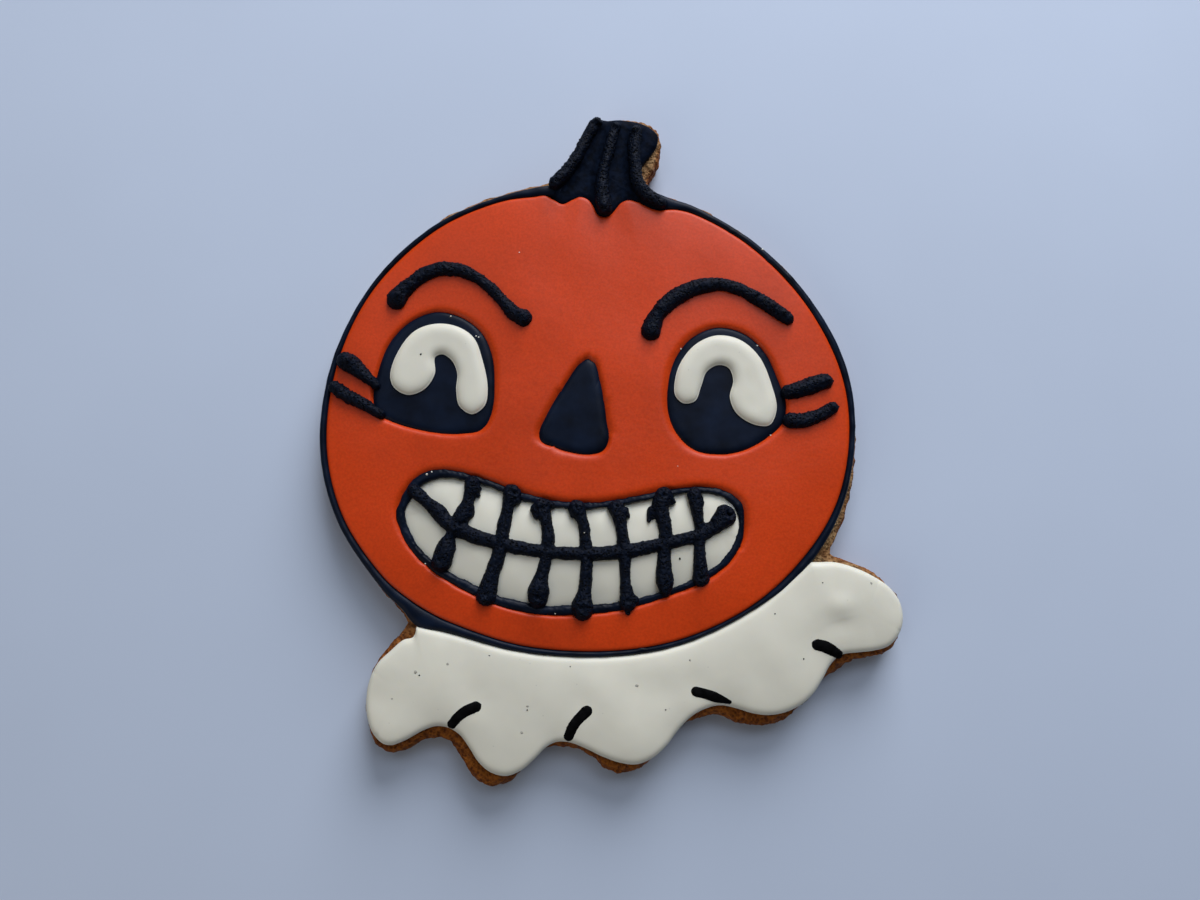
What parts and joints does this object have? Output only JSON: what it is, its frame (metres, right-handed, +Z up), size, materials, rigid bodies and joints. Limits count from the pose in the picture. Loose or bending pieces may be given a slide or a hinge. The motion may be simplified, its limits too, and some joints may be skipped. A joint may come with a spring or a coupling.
{
  "type": "iced sugar cookie",
  "caption": "Flat baked sugar cookie cut as a grinning pumpkin head over a scalloped collar, flooded with icing and finished with piped lines.",
  "frame": {"origin": "middle of the cookie's box, on the flat face that it rests on", "axes": "+Z up out of the iced face, +Y towards the stem, +X to the right as the face is seen"},
  "size_m": [0.095, 0.111, 0.0092],
  "materials": {
    "baked_biscuit": "matt, finely grained baked crust",
    "orange_icing": "satin dried flood icing",
    "black_icing": "satin where flooded, crusty where piped",
    "ivory_icing": "smooth satin dried flood icing"
  },
  "bodies": {
    "root": {"biscuit": "baked_biscuit", "orange_icing": "orange_icing", "head_outline": "black_icing", "stem_icing": "black_icing", "stem_rib_left": "black_icing", "stem_rib_middle": "black_icing", "stem_rib_right": "black_icing", "eye_left": "black_icing", "eye_right": "black_icing", "nose": "black_icing", "mouth_rim": "black_icing", "tooth_lines": "black_icing", "brow_left": "black_icing", "brow_right": "black_icing", "lash_left_upper": "black_icing", "lash_left_lower": "black_icing", "lash_right_upper": "black_icing", "lash_right_lower": "black_icing", "collar_mark_1": "black_icing", "collar_mark_2": "black_icing", "collar_mark_3": "black_icing", "collar_mark_4": "black_icing", "eye_white_left": "ivory_icing", "eye_white_right": "ivory_icing", "teeth": "ivory_icing", "collar_icing": "ivory_icing"}
  },
  "joints": []
}
